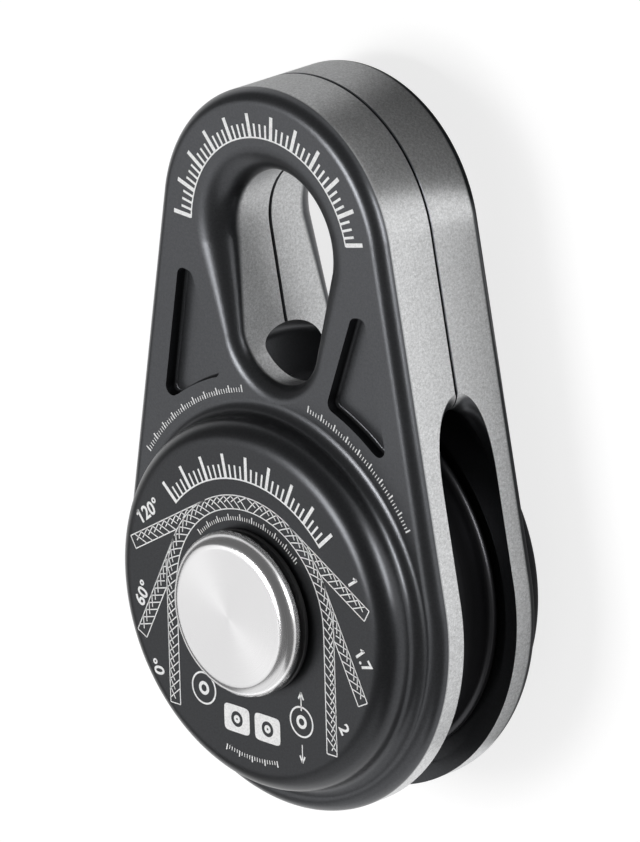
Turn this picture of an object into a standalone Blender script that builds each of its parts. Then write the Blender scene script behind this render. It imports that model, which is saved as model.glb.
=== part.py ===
"""Snatch block with two machined aluminium side plates, a grooved sheave and a headed pin.

The block lies on its rear boss. +Z points out of the front plate, +Y towards the eye, and the
origin is on the floor under the middle of the block's box. The pin's axis is parallel to Z.
Each side plate is hollowed on its inner side for the sheave and the rope, and the two plates
swing on the pin to let a rope in.
"""
import math

import bmesh
import bpy

MM = 0.001

# Sheave and the room around it
SHEAVE_RADIUS = 49.2 * MM
SHEAVE_SIDE_GAP = 0.6 * MM
SHEAVE_RIM_GAP = 3.8 * MM
RIM_ROUND = 1.6 * MM
HUB_FACE_MARGIN = 2.0 * MM

# Rope channel between the plates
ROPE_CHANNEL_WIDTH = 19.2 * MM
SHEAVE_RECESS_DEPTH = 2.5 * MM
CHANNEL_RIM_WIDTH = 4.0 * MM
CHANNEL_SHOULDER = 6.0 * MM
CHANNEL_ROOF_RISE = 5.3 * MM
EXIT_ROUND = 5.4 * MM
EXIT_EDGE = 0.4 * MM

# Side plates
PARTING_GAP = 0.4 * MM
PLATE_HEIGHT = 18.4 * MM
EDGE_ROUND = 4.0 * MM
BOSS_HEIGHT = 10.6 * MM
BOSS_ROUND = 6.2 * MM
BOSS_COVE = 3.4 * MM
FACE_MARGIN = 0.2 * MM

# Eye
EYE_DISTANCE = 94.6 * MM
EYE_TOP_RADIUS = 18.2 * MM
EYE_LOW_RADIUS = 14.0 * MM
EYE_ARC_SPACING = 23.7 * MM
EYE_WALL = 22.1 * MM
EYE_ROUND_TOP = 8.0 * MM
EYE_ROUND_LOW = 4.3 * MM

# Three-cornered pockets in the plates' faces
POCKET_DEPTH = 3.3 * MM
POCKET_SIDE_MARGIN = 9.6 * MM
POCKET_BOSS_MARGIN = 6.1 * MM
POCKET_HEIGHT = 38.0 * MM
POCKET_WIDTH = 25.5 * MM
POCKET_TIP_WIDTH = 4.9 * MM
POCKET_CORNER_ROUND = 2.3 * MM
POCKET_FLOOR_ROUND = 0.9 * MM

# Pin, bushing, washers and retaining ring
PIN_RADIUS = 12.7 * MM
PIN_HEAD_RADIUS = 19.7 * MM
PIN_HEAD_HEIGHT = 6.0 * MM
PIN_HEAD_ROUND = 1.1 * MM
PIN_END_CHAMFER = 0.8 * MM
PIN_END_DEPTH = 1.0 * MM
BUSHING_WALL = 2.6 * MM
THRUST_WASHER_RADIUS = 22.0 * MM
THRUST_WASHER_THICKNESS = 1.5 * MM
HEAD_WASHER_LIP = 1.9 * MM
HEAD_WASHER_THICKNESS = 1.2 * MM
RING_SEAT_DEPTH = 6.5 * MM
RING_SEAT_CLEARANCE = 0.8 * MM
RING_WASHER_THICKNESS = 1.2 * MM
RING_THICKNESS = 1.5 * MM
RING_WIDTH = 3.4 * MM
RING_LUG = 2.8 * MM
RING_GROOVE_DEPTH = 1.2 * MM
RING_LUG_HOLE_RADIUS = 0.9 * MM
FIT_GAP = 0.3 * MM

# Sizes that follow from the ones above
CHANNEL_HALF = ROPE_CHANNEL_WIDTH / 2
RECESS_RADIUS = SHEAVE_RADIUS + SHEAVE_RIM_GAP
RECESS_FLOOR = CHANNEL_HALF + SHEAVE_RECESS_DEPTH
SHEAVE_HALF = RECESS_FLOOR - SHEAVE_SIDE_GAP
HUB_HALF = RECESS_FLOOR - THRUST_WASHER_THICKNESS - 2 * FIT_GAP
HUB_FACE_RADIUS = THRUST_WASHER_RADIUS + HUB_FACE_MARGIN
LOWER_RADIUS = RECESS_RADIUS + CHANNEL_RIM_WIDTH
EYE_END_RADIUS = EYE_TOP_RADIUS + EYE_WALL
BOSS_RADIUS = LOWER_RADIUS - EDGE_ROUND - FACE_MARGIN - BOSS_COVE
BOSS_FACE = PLATE_HEIGHT + BOSS_HEIGHT
BORE_RADIUS = PIN_RADIUS + FIT_GAP
BUSHING_RADIUS = BORE_RADIUS + BUSHING_WALL
CHANNEL_SHOULDER_RADIUS = LOWER_RADIUS + CHANNEL_SHOULDER
GROOVE_RADIUS = SHEAVE_HALF - 2 * RIM_ROUND
SIDE_TILT = math.asin((LOWER_RADIUS - EYE_END_RADIUS) / EYE_DISTANCE)
HEAD_WASHER_RADIUS = PIN_HEAD_RADIUS + HEAD_WASHER_LIP
HEAD_WASHER_BASE = BOSS_FACE + FIT_GAP
HEAD_BASE = HEAD_WASHER_BASE + HEAD_WASHER_THICKNESS + FIT_GAP
HEAD_TOP = HEAD_BASE + PIN_HEAD_HEIGHT
RING_INNER_RADIUS = PIN_RADIUS - RING_GROOVE_DEPTH + FIT_GAP
RING_OUTER_RADIUS = RING_INNER_RADIUS + RING_WIDTH
RING_LUG_RADIUS = RING_OUTER_RADIUS + RING_LUG
RING_SEAT_RADIUS = RING_LUG_RADIUS + RING_SEAT_CLEARANCE
RING_SEAT_FLOOR = BOSS_FACE - RING_SEAT_DEPTH
RING_WASHER_BASE = RING_SEAT_FLOOR + FIT_GAP
RING_GROOVE_BASE = RING_WASHER_BASE + RING_WASHER_THICKNESS
RING_BASE = RING_GROOVE_BASE + FIT_GAP
RING_GROOVE_TOP = RING_BASE + RING_THICKNESS + FIT_GAP
PIN_END = BOSS_FACE - PIN_END_DEPTH
PIN_Y = (LOWER_RADIUS - EYE_DISTANCE - EYE_END_RADIUS) / 2

# Fineness of the round shapes
TURNED_STEPS = 64
SMALL_TURNED_STEPS = 48
ROUND_STEPS = 4
LOWER_ARC_STEPS = 36
UPPER_ARC_STEPS = 28
EYE_ARC_STEPS = 20
CHANNEL_STEPS = 10
CHANNEL_ROWS = 6
EXIT_STEPS = 5
RIM_STEPS = 6
CORNER_STEPS = 3
CUT_OVER = 3.0 * MM
EXIT_OVER = 0.05 * MM


def clear_scene():
    """Remove every object of the scene that the file opened with."""
    for old in list(bpy.data.objects):
        bpy.data.objects.remove(old, do_unlink=True)


def finish_material(name, colour, roughness, metallic):
    """Principled material of one finish."""
    finish = bpy.data.materials.new(name)
    finish.use_nodes = True
    shader = finish.node_tree.nodes["Principled BSDF"]
    shader.inputs["Base Color"].default_value = (*colour, 1.0)
    shader.inputs["Roughness"].default_value = roughness
    shader.inputs["Metallic"].default_value = metallic
    return finish


def add_object(name, bm, finish=None):
    """Object of a bmesh, shaded smooth across its shallow edges."""
    bmesh.ops.remove_doubles(bm, verts=bm.verts, dist=0.001 * MM)
    bmesh.ops.recalc_face_normals(bm, faces=bm.faces)
    mesh = bpy.data.meshes.new(name)
    bm.to_mesh(mesh)
    bm.free()
    mesh.shade_smooth()
    mesh.set_sharp_from_angle(angle=math.radians(35))
    piece = bpy.data.objects.new(name, mesh)
    bpy.context.scene.collection.objects.link(piece)
    if finish:
        mesh.materials.append(finish)
    return piece


def arc(centre, radius, start, end, steps):
    """Points of an arc in a plane, both ends included, angles in degrees."""
    points = []
    for step in range(steps + 1):
        angle = math.radians(start + (end - start) * step / steps)
        points.append((centre[0] + radius * math.cos(angle), centre[1] + radius * math.sin(angle)))
    return points


def two_circle_outline(low_radius, low_y, top_radius, top_y, low_steps, top_steps):
    """Points and outward directions of a belt round two circles on the Y axis."""
    tilt = math.degrees(math.asin((low_radius - top_radius) / (top_y - low_y)))
    outline = []
    for centre_y, radius, start, end, steps in (
        (top_y, top_radius, tilt, 180 - tilt, top_steps),
        (low_y, low_radius, 180 - tilt, 360 + tilt, low_steps),
    ):
        for direction in arc((0, 0), 1.0, start, end, steps):
            point = (radius * direction[0], centre_y + radius * direction[1])
            outline.append((point, direction))
    return outline


def loft(loops):
    """Closed solid through a stack of loops with equal numbers of points."""
    bm = bmesh.new()
    rows = [[bm.verts.new(point) for point in loop] for loop in loops]
    for low, high in zip(rows, rows[1:]):
        for index in range(len(low)):
            following = (index + 1) % len(low)
            bm.faces.new((low[index], low[following], high[following], high[index]))
    bm.faces.new(list(reversed(rows[0])))
    bm.faces.new(rows[-1])
    return bm


def turned(profile, steps=TURNED_STEPS):
    """Solid turned about Z from (radius, height) points, closed at the axis or as a ring."""
    bm = bmesh.new()
    verts = [bm.verts.new((radius, 0, height)) for radius, height in profile]
    pairs = list(zip(verts, verts[1:]))
    if profile[0][0] > 0:
        pairs.append((verts[-1], verts[0]))
    edges = [bm.edges.new(pair) for pair in pairs]
    bmesh.ops.spin(
        bm, geom=verts + edges, axis=(0, 0, 1), cent=(0, 0, 0), angle=2 * math.pi, steps=steps
    )
    bmesh.ops.remove_doubles(bm, verts=bm.verts, dist=0.001 * MM)
    return bm


def cutter(name, bm):
    """Hidden shape that a Boolean takes away or joins."""
    shape = add_object(name, bm)
    shape.hide_render = True
    shape.display_type = "WIRE"
    return shape


def combine(piece, shape, operation):
    """Boolean of a piece with a hidden shape."""
    modifier = piece.modifiers.new(shape.name, "BOOLEAN")
    modifier.operation = operation
    modifier.solver = "EXACT"
    modifier.object = shape
    shape.parent = piece


def plate_blank():
    """Outline of a plate as a solid whose outer edge is rounded."""
    rows = [(0.0, PARTING_GAP / 2)]
    for step in range(ROUND_STEPS + 1):
        angle = math.radians(90 * step / ROUND_STEPS)
        inset = EDGE_ROUND * (1 - math.cos(angle))
        rows.append((inset, PLATE_HEIGHT - EDGE_ROUND * (1 - math.sin(angle))))
    loops = []
    for inset, height in rows:
        outline = two_circle_outline(
            LOWER_RADIUS - inset, 0, EYE_END_RADIUS - inset, EYE_DISTANCE,
            LOWER_ARC_STEPS, UPPER_ARC_STEPS,
        )
        loops.append([(x, y, height) for (x, y), _ in outline])
    return loft(loops)


def boss_profile():
    """Section of the round boss: a cove from the plate's face, then a rounded rim."""
    profile = [(0.0, RECESS_FLOOR + FIT_GAP)]
    profile.append((BOSS_RADIUS + BOSS_COVE, RECESS_FLOOR + FIT_GAP))
    cove = arc((BOSS_RADIUS + BOSS_COVE, PLATE_HEIGHT + BOSS_COVE), BOSS_COVE, 270, 180, ROUND_STEPS)
    rim = arc((BOSS_RADIUS - BOSS_ROUND, BOSS_FACE - BOSS_ROUND), BOSS_ROUND, 0, 90, ROUND_STEPS)
    return profile + cove + rim + [(0.0, BOSS_FACE)]


def eye_loops():
    """Loops of the eye: straight through the plate, flaring out to the face."""
    outline = two_circle_outline(
        EYE_LOW_RADIUS, EYE_DISTANCE - EYE_ARC_SPACING, EYE_TOP_RADIUS, EYE_DISTANCE,
        EYE_ARC_STEPS, EYE_ARC_STEPS,
    )
    loops = [[(x, y, -CUT_OVER) for (x, y), _ in outline]]
    for step in range(ROUND_STEPS + 1):
        angle = math.radians(90 * step / ROUND_STEPS)
        loop = []
        for (x, y), (out_x, out_y) in outline:
            share = (y - EYE_DISTANCE + EYE_ARC_SPACING) / EYE_ARC_SPACING
            share = min(max(share, 0.0), 1.0)
            flare = EYE_ROUND_LOW + (EYE_ROUND_TOP - EYE_ROUND_LOW) * share
            offset = flare * (1 - math.cos(angle))
            height = PLATE_HEIGHT - flare * (1 - math.sin(angle))
            loop.append((x + out_x * offset, y + out_y * offset, height))
        loops.append(loop)
    loops.append([(x, y, PLATE_HEIGHT + CUT_OVER) for x, y, _ in loops[-1]])
    return loops


def channel_loops():
    """Loops of the rope channel: a roof round the pin's axis, with rounded exits at both sides."""
    far = LOWER_RADIUS + 2 * CUT_OVER
    loops = []
    for row in range(CHANNEL_ROWS + 1):
        sweep = math.radians(90 * row / CHANNEL_ROWS)
        roof = CHANNEL_SHOULDER_RADIUS + CHANNEL_ROOF_RISE * math.sin(sweep)
        exit_round = EXIT_EDGE + (EXIT_ROUND - EXIT_EDGE) * math.sin(sweep)
        out = LOWER_RADIUS + EXIT_OVER - exit_round
        along = math.sqrt((roof + exit_round) ** 2 - out ** 2)
        centre = (
            out * math.cos(SIDE_TILT) - along * math.sin(SIDE_TILT),
            out * math.sin(SIDE_TILT) + along * math.cos(SIDE_TILT),
        )
        toward = math.degrees(math.atan2(centre[1], centre[0]))
        half = arc(centre, exit_round, math.degrees(SIDE_TILT), toward - 180, EXIT_STEPS)
        half += arc((0, 0), roof, toward, 90, CHANNEL_STEPS)[1:]
        half.insert(0, (far, half[0][1]))
        loop = half + [(-x, y) for x, y in reversed(half[:-1])]
        loop += [(-far, -far), (far, -far)]
        height = CHANNEL_HALF * math.cos(sweep)
        loops.append([(x, y, height) for x, y in loop])
    loops.append([(x, y, -CUT_OVER) for x, y, _ in loops[-1]])
    loops.reverse()
    return loops


def rounded_corner(before, corner, after, radius):
    """Points of a corner of an outline that is rounded to a radius."""
    to_before = (before[0] - corner[0], before[1] - corner[1])
    to_after = (after[0] - corner[0], after[1] - corner[1])
    start = math.atan2(to_before[1], to_before[0])
    turn = math.atan2(to_after[1], to_after[0]) - start
    turn = (turn + math.pi) % (2 * math.pi) - math.pi
    middle = start + turn / 2
    distance = radius / math.sin(abs(turn) / 2)
    centre = (corner[0] + distance * math.cos(middle), corner[1] + distance * math.sin(middle))
    first = math.degrees(start) - math.copysign(90, turn)
    last = math.degrees(start + turn) + math.copysign(90, turn)
    sweep = (last - first + 180) % 360 - 180
    return arc(centre, radius, first, first + sweep, CORNER_STEPS)


def pocket_outline():
    """Outline of the pocket beside the eye, on the +X side of a plate."""
    base_radius = BOSS_RADIUS + BOSS_COVE + POCKET_BOSS_MARGIN
    side_distance = LOWER_RADIUS - POCKET_SIDE_MARGIN
    along = math.sqrt(base_radius ** 2 - side_distance ** 2)
    normal = (math.cos(SIDE_TILT), math.sin(SIDE_TILT))
    upward = (-normal[1], normal[0])

    def on_side(distance, inset):
        return (
            (side_distance - inset) * normal[0] + distance * upward[0],
            (side_distance - inset) * normal[1] + distance * upward[1],
        )

    outer_low = on_side(along, 0)
    outer_top = on_side(along + POCKET_HEIGHT + POCKET_CORNER_ROUND, 0)
    inner_top = on_side(along + POCKET_HEIGHT + POCKET_CORNER_ROUND, POCKET_TIP_WIDTH)
    start = math.degrees(math.atan2(outer_low[1], outer_low[0]))
    sweep = math.degrees(POCKET_WIDTH / base_radius)
    base = arc((0, 0), base_radius, start + sweep, start, CORNER_STEPS * 2)
    inner_low = base[0]
    outline = rounded_corner(base[-2], outer_low, outer_top, POCKET_CORNER_ROUND)
    outline += rounded_corner(outer_low, outer_top, inner_top, POCKET_CORNER_ROUND)
    outline += rounded_corner(outer_top, inner_top, inner_low, POCKET_CORNER_ROUND)
    outline += rounded_corner(inner_top, inner_low, base[1], POCKET_CORNER_ROUND)
    outline += base[2:-2]
    return outline


def pocket_cutter(side):
    """Cutter of one pocket, whose floor meets its walls in a small round."""
    bm = bmesh.new()
    floor_height = PLATE_HEIGHT - POCKET_DEPTH
    verts = [bm.verts.new((side * x, y, floor_height)) for x, y in pocket_outline()]
    floor = bm.faces.new(verts)
    rim = list(floor.edges)
    grown = bmesh.ops.extrude_face_region(bm, geom=[floor])["geom"]
    lifted = [item for item in grown if isinstance(item, bmesh.types.BMVert)]
    bmesh.ops.translate(bm, verts=lifted, vec=(0, 0, POCKET_DEPTH + CUT_OVER))
    bmesh.ops.bevel(
        bm, geom=rim, offset=POCKET_FLOOR_ROUND, segments=2, profile=0.5, affect="EDGES"
    )
    return bm


def side_plate(name, finish, ring_seat):
    """One side plate, its outer face towards +Z, with or without the retaining ring's seat."""
    plate = add_object(name, plate_blank(), finish)
    combine(plate, cutter(name + "_boss", turned(boss_profile())), "UNION")
    combine(plate, cutter(name + "_eye", loft(eye_loops())), "DIFFERENCE")
    combine(plate, cutter(name + "_channel", loft(channel_loops())), "DIFFERENCE")
    recess = [(0, -CUT_OVER), (RECESS_RADIUS, -CUT_OVER), (RECESS_RADIUS, RECESS_FLOOR)]
    combine(
        plate, cutter(name + "_recess", turned(recess + [(0, RECESS_FLOOR)])), "DIFFERENCE"
    )
    for side, label in ((-1, "left"), (1, "right")):
        combine(plate, cutter(name + "_pocket_" + label, pocket_cutter(side)), "DIFFERENCE")
    top = BOSS_FACE + CUT_OVER
    bore = [(0, -CUT_OVER), (BORE_RADIUS, -CUT_OVER)]
    if ring_seat:
        bore += [(BORE_RADIUS, RING_SEAT_FLOOR), (RING_SEAT_RADIUS, RING_SEAT_FLOOR)]
        bore += [(RING_SEAT_RADIUS, top), (0, top)]
    else:
        bore += [(BORE_RADIUS, top), (0, top)]
    combine(plate, cutter(name + "_bore", turned(bore, SMALL_TURNED_STEPS)), "DIFFERENCE")
    return plate


def sheave_profile():
    """Section of the sheave: bore, hub face, fully round rims and a half-round rope groove."""
    bore = BUSHING_RADIUS + FIT_GAP
    rim = SHEAVE_RADIUS - RIM_ROUND
    half = [(bore, HUB_HALF), (HUB_FACE_RADIUS, HUB_HALF), (HUB_FACE_RADIUS, SHEAVE_HALF)]
    half += arc((rim, SHEAVE_HALF - RIM_ROUND), RIM_ROUND, 90, -90, RIM_STEPS)
    half += arc((rim, 0), GROOVE_RADIUS, 90, 180, ROUND_STEPS + 1)[1:]
    mirrored = [(radius, -height) for radius, height in reversed(half[:-1])]
    return half + mirrored


def washer(name, finish, inner, outer, base, thickness):
    """Flat round washer between two heights."""
    section = [(inner, base), (outer, base), (outer, base + thickness), (inner, base + thickness)]
    return add_object(name, turned(section, SMALL_TURNED_STEPS), finish)


def pin_profile():
    """Section of the pin from its rear end up to its head."""
    groove = PIN_RADIUS - RING_GROOVE_DEPTH
    profile = [(0, -PIN_END), (PIN_RADIUS - PIN_END_CHAMFER, -PIN_END)]
    profile += [(PIN_RADIUS, -PIN_END + PIN_END_CHAMFER), (PIN_RADIUS, -RING_GROOVE_TOP)]
    profile += [(groove, -RING_GROOVE_TOP), (groove, -RING_GROOVE_BASE)]
    profile += [(PIN_RADIUS, -RING_GROOVE_BASE), (PIN_RADIUS, HEAD_BASE)]
    profile += [(PIN_HEAD_RADIUS, HEAD_BASE)]
    corner = (PIN_HEAD_RADIUS - PIN_HEAD_ROUND, HEAD_TOP - PIN_HEAD_ROUND)
    return profile + arc(corner, PIN_HEAD_ROUND, 0, 90, 3) + [(0, HEAD_TOP)]


def retaining_ring(finish):
    """Open spring ring with two drilled lugs in the pin's groove, open away from the eye."""
    opening = 14
    lug_end = 34
    inner = arc((0, 0), RING_INNER_RADIUS, opening, 360 - opening, TURNED_STEPS // 2)
    far_lug = arc((0, 0), RING_LUG_RADIUS, 360 - opening, 360 - lug_end, 3)
    back = arc((0, 0), RING_OUTER_RADIUS, 360 - lug_end, lug_end, TURNED_STEPS // 2)
    near_lug = arc((0, 0), RING_LUG_RADIUS, lug_end, opening, 3)
    outline = inner + far_lug + back + near_lug
    outline.reverse()
    heights = (-RING_BASE - RING_THICKNESS, -RING_BASE)
    ring = add_object(
        "retaining_ring", loft([[(x, y, height) for x, y in outline] for height in heights]), finish
    )
    middle = math.radians((opening + lug_end) / 2)
    distance = (RING_INNER_RADIUS + RING_LUG_RADIUS) / 2
    for side, label in ((-1, "left"), (1, "right")):
        reach = CUT_OVER + RING_THICKNESS
        bm = bmesh.new()
        bmesh.ops.create_cone(
            bm, cap_ends=True, segments=12, depth=2 * reach,
            radius1=RING_LUG_HOLE_RADIUS, radius2=RING_LUG_HOLE_RADIUS,
        )
        place = (distance * math.cos(middle), side * distance * math.sin(middle), -RING_BASE)
        bmesh.ops.translate(bm, verts=bm.verts, vec=place)
        combine(ring, cutter("lug_hole_" + label, bm), "DIFFERENCE")
    ring.rotation_euler = (0, 0, -math.pi / 2)
    return ring


def build_block():
    """Make every piece of the block and hang it on the pin's axis."""
    plate_finish = finish_material("grey_anodised_aluminium", (0.075, 0.08, 0.088), 0.42, 0.75)
    rear_finish = finish_material("grey_anodised_aluminium_rear", (0.085, 0.09, 0.098), 0.42, 0.75)
    sheave_finish = finish_material("dark_turned_aluminium", (0.05, 0.05, 0.055), 0.38, 0.8)
    pin_finish = finish_material("bright_stainless_steel", (0.78, 0.78, 0.79), 0.22, 1.0)
    bronze_finish = finish_material("oiled_bronze", (0.55, 0.36, 0.16), 0.4, 1.0)
    seal_finish = finish_material("black_nylon", (0.012, 0.012, 0.013), 0.5, 0.0)
    thrust_finish = finish_material("white_acetal", (0.75, 0.75, 0.72), 0.45, 0.0)
    steel_finish = finish_material("plated_steel", (0.55, 0.55, 0.56), 0.35, 1.0)
    ring_finish = finish_material("spring_steel", (0.12, 0.12, 0.125), 0.4, 0.9)

    axis = bpy.data.objects.new("pin_axis", None)
    bpy.context.scene.collection.objects.link(axis)
    axis.location = (0, PIN_Y, BOSS_FACE)

    front_plate = side_plate("front_side_plate", plate_finish, ring_seat=False)
    rear_plate = side_plate("rear_side_plate", rear_finish, ring_seat=True)
    rear_plate.rotation_euler = (0, math.pi, 0)
    pieces = [front_plate, rear_plate]

    pieces.append(add_object("sheave", turned(sheave_profile()), sheave_finish))
    bushing_length = 2 * (HUB_HALF - FIT_GAP)
    pieces.append(washer(
        "sheave_bushing", bronze_finish, BORE_RADIUS, BUSHING_RADIUS,
        -bushing_length / 2, bushing_length,
    ))
    pieces.append(add_object("centre_pin", turned(pin_profile()), pin_finish))
    pieces.append(washer(
        "head_washer", seal_finish, BORE_RADIUS, HEAD_WASHER_RADIUS,
        HEAD_WASHER_BASE, HEAD_WASHER_THICKNESS,
    ))
    thrust_base = HUB_HALF + FIT_GAP
    for label, base in (
        ("front_thrust_washer", thrust_base),
        ("rear_thrust_washer", -thrust_base - THRUST_WASHER_THICKNESS),
    ):
        pieces.append(washer(
            label, thrust_finish, BORE_RADIUS, THRUST_WASHER_RADIUS, base, THRUST_WASHER_THICKNESS
        ))
    pieces.append(washer(
        "ring_washer", steel_finish, BORE_RADIUS, RING_SEAT_RADIUS - RING_SEAT_CLEARANCE,
        -RING_WASHER_BASE - RING_WASHER_THICKNESS, RING_WASHER_THICKNESS,
    ))
    pieces.append(retaining_ring(ring_finish))
    for piece in pieces:
        piece.parent = axis


clear_scene()
build_block()
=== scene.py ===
"""Looks of a snatch block: two machined aluminium side plates, a grooved sheave and a headed pin.

The block lies on its rear boss. The pin's axis is parallel to Z and the eye points to +Y. Each
piece is modelled round the pin's axis at the plane where the two plates meet, then moved there.
"""
import math

import bmesh
import bpy
from mathutils import Matrix, Vector


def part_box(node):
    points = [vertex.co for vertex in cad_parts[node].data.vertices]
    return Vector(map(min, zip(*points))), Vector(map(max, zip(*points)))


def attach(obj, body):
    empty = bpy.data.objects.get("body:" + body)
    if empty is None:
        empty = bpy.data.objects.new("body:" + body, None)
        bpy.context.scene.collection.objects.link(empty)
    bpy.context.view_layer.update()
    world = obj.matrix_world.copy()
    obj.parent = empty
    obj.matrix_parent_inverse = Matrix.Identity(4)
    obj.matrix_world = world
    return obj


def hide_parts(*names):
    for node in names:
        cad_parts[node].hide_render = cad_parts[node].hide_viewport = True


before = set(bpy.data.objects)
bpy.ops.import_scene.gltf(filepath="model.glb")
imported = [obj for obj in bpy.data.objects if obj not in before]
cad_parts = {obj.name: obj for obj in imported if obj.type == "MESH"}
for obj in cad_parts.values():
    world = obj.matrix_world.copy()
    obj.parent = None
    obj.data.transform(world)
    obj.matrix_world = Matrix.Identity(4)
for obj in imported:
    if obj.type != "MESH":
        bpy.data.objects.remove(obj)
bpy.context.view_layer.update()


# Side plates
# Each plate is milled from one block of aluminium, with a round boss for the pin, an eye for the
# shackle and two three-cornered pockets, hollowed on its inner side for the sheave and the rope.
# The plates are bead blasted and anodised grey, and the rear one is the mirror of the front one.
MM = 0.001
PIN_LOW, PIN_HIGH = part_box("centre_pin")
FRONT_LOW, FRONT_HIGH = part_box("front_side_plate")
REAR_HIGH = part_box("rear_side_plate")[1]
MIDDLE = Vector((
    (PIN_LOW.x + PIN_HIGH.x) / 2, (PIN_LOW.y + PIN_HIGH.y) / 2, (FRONT_LOW.z + REAR_HIGH.z) / 2
))
LOWER_RADIUS = FRONT_HIGH.x
BOSS_FACE = FRONT_HIGH.z - MIDDLE.z
PARTING_HALF = FRONT_LOW.z - MIDDLE.z
PLATE_HEIGHT = 18.4 * MM
EDGE_ROUND = 4.0 * MM
PARTING_CHAMFER = 0.35 * MM
BOSS_RADIUS = 49.4 * MM
BOSS_ROUND = 6.2 * MM
BOSS_COVE = 3.4 * MM
EYE_DISTANCE = 94.6 * MM
EYE_END_RADIUS = FRONT_HIGH.y - MIDDLE.y - EYE_DISTANCE
EYE_TOP_RADIUS = 18.2 * MM
EYE_LOW_RADIUS = 14.0 * MM
EYE_ARC_SPACING = 23.7 * MM
EYE_ROUND_TOP = 8.0 * MM
EYE_ROUND_LOW = 4.3 * MM
CHANNEL_HALF = 9.6 * MM
CHANNEL_SHOULDER_RADIUS = 63.0 * MM
CHANNEL_ROOF_RISE = 5.3 * MM
EXIT_ROUND = 5.4 * MM
EXIT_EDGE = 0.4 * MM
EXIT_OVER = 0.05 * MM
RECESS_RADIUS = 53.0 * MM
RECESS_FLOOR = 12.1 * MM
POCKET_DEPTH = 3.3 * MM
POCKET_SIDE_DISTANCE = 47.4 * MM
POCKET_BASE_RADIUS = 58.9 * MM
POCKET_HEIGHT = 40.3 * MM
POCKET_WIDTH = 25.5 * MM
POCKET_TIP_WIDTH = 4.9 * MM
POCKET_CORNER_ROUND = 2.3 * MM
POCKET_FLOOR_ROUND = 0.9 * MM
BORE_RADIUS = 13.0 * MM
RING_SEAT_RADIUS = 18.8 * MM
RING_SEAT_FLOOR = 22.5 * MM
CUT_OVER = 3.0 * MM
ROOF_SHARE = 0.6
EXIT_SHARE = 0.35
SIDE_LEAN = math.asin((LOWER_RADIUS - EYE_END_RADIUS) / EYE_DISTANCE)
ROUND_POINTS = 320
ROUND_STEPS = 12
CHANNEL_STEPS = (160, 40)
POCKET_BASE_STEPS = 24
POCKET_BASE_NEAR = 4
POCKET_BASE_MARGIN = 1 / 50
NEAR = 0.01 * MM
WELD = 0.0005 * MM
SMOOTH_ANGLE = 30
PLATE_SMOOTH_ANGLE = 20
GRAIN_SCALE, MOTTLE_SCALE, CLOUD_SCALE = 3600.0, 1500.0, 45.0
WALL_TILT = 0.24
WALL_GRAIN, FACE_GRAIN = 0.95, 0.5
FLOOR_FADE = 0.3 * MM
BLAST_DEPTH = 0.02 * MM


def alone(piece):
    """Make a piece the only one that is selected, and the active one."""
    bpy.ops.object.select_all(action="DESELECT")
    bpy.context.view_layer.objects.active = piece
    piece.select_set(True)


def edit(piece):
    """Open a piece in edit mode, alone."""
    if bpy.context.mode != "OBJECT":
        bpy.ops.object.mode_set(mode="OBJECT")
    alone(piece)
    bpy.ops.object.mode_set(mode="EDIT")


def close():
    """Leave edit mode."""
    bpy.ops.object.mode_set(mode="OBJECT")


def close_outwards():
    """Turn a closed shape's faces outwards and leave edit mode."""
    bpy.ops.mesh.select_all(action="SELECT")
    bpy.ops.mesh.normals_make_consistent(inside=False)
    close()


def begin(name):
    """Name the primitive that was just added and open it in edit mode."""
    piece = bpy.context.object
    piece.name = name
    piece.data.name = name
    edit(piece)
    return piece


def pick(piece, test):
    """Select a piece's vertices by their place, and the edges and faces between them."""
    bpy.ops.mesh.select_mode(type="VERT")
    bpy.ops.mesh.select_all(action="DESELECT")
    mesh = bmesh.from_edit_mesh(piece.data)
    for vert in mesh.verts:
        vert.select = test(vert.co)
    mesh.select_flush(True)
    bmesh.update_edit_mesh(piece.data)


def raise_by(height):
    """Extrude what is selected along Z."""
    bpy.ops.mesh.extrude_region_move(TRANSFORM_OT_translate={"value": (0, 0, height)})


def flat_outline(name, corners, height):
    """Filled outline with a vertex at each corner, open in edit mode with all of it selected."""
    bpy.ops.object.select_all(action="DESELECT")
    bpy.ops.mesh.primitive_circle_add(vertices=len(corners), fill_type="NGON")
    piece = begin(name)
    mesh = bmesh.from_edit_mesh(piece.data)
    for vert, corner in zip(mesh.verts, corners):
        vert.co = (corner[0], corner[1], height)
    bmesh.update_edit_mesh(piece.data)
    bpy.ops.mesh.select_all(action="SELECT")
    return piece


def arc(centre, radius, start, end, steps):
    """Points of an arc in a plane, both ends included, angles in degrees."""
    angles = [math.radians(start + (end - start) * step / steps) for step in range(steps + 1)]
    return [(centre[0] + radius * math.cos(a), centre[1] + radius * math.sin(a)) for a in angles]


def turn(name, section, steps=ROUND_POINTS):
    """Solid turned about Z from the (radius, height) points of its section."""
    bpy.ops.object.select_all(action="DESELECT")
    bpy.ops.mesh.primitive_plane_add(size=MM)
    piece = begin(name)
    bpy.ops.mesh.merge(type="CENTER")
    bpy.ops.transform.translate(value=(section[0][0], 0, section[0][1]))
    around = section + [section[0]] if section[0][0] > 0 else section
    for here, there in zip(around, around[1:]):
        step = (there[0] - here[0], 0, there[1] - here[1])
        bpy.ops.mesh.extrude_vertices_move(TRANSFORM_OT_translate={"value": step})
    bpy.ops.mesh.select_all(action="SELECT")
    bpy.ops.mesh.remove_doubles(threshold=WELD)
    bpy.ops.mesh.spin(steps=steps, angle=2 * math.pi, center=(0, 0, 0), axis=(0, 0, 1))
    bpy.ops.mesh.select_all(action="SELECT")
    bpy.ops.mesh.remove_doubles(threshold=WELD)
    close_outwards()
    return piece


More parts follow.
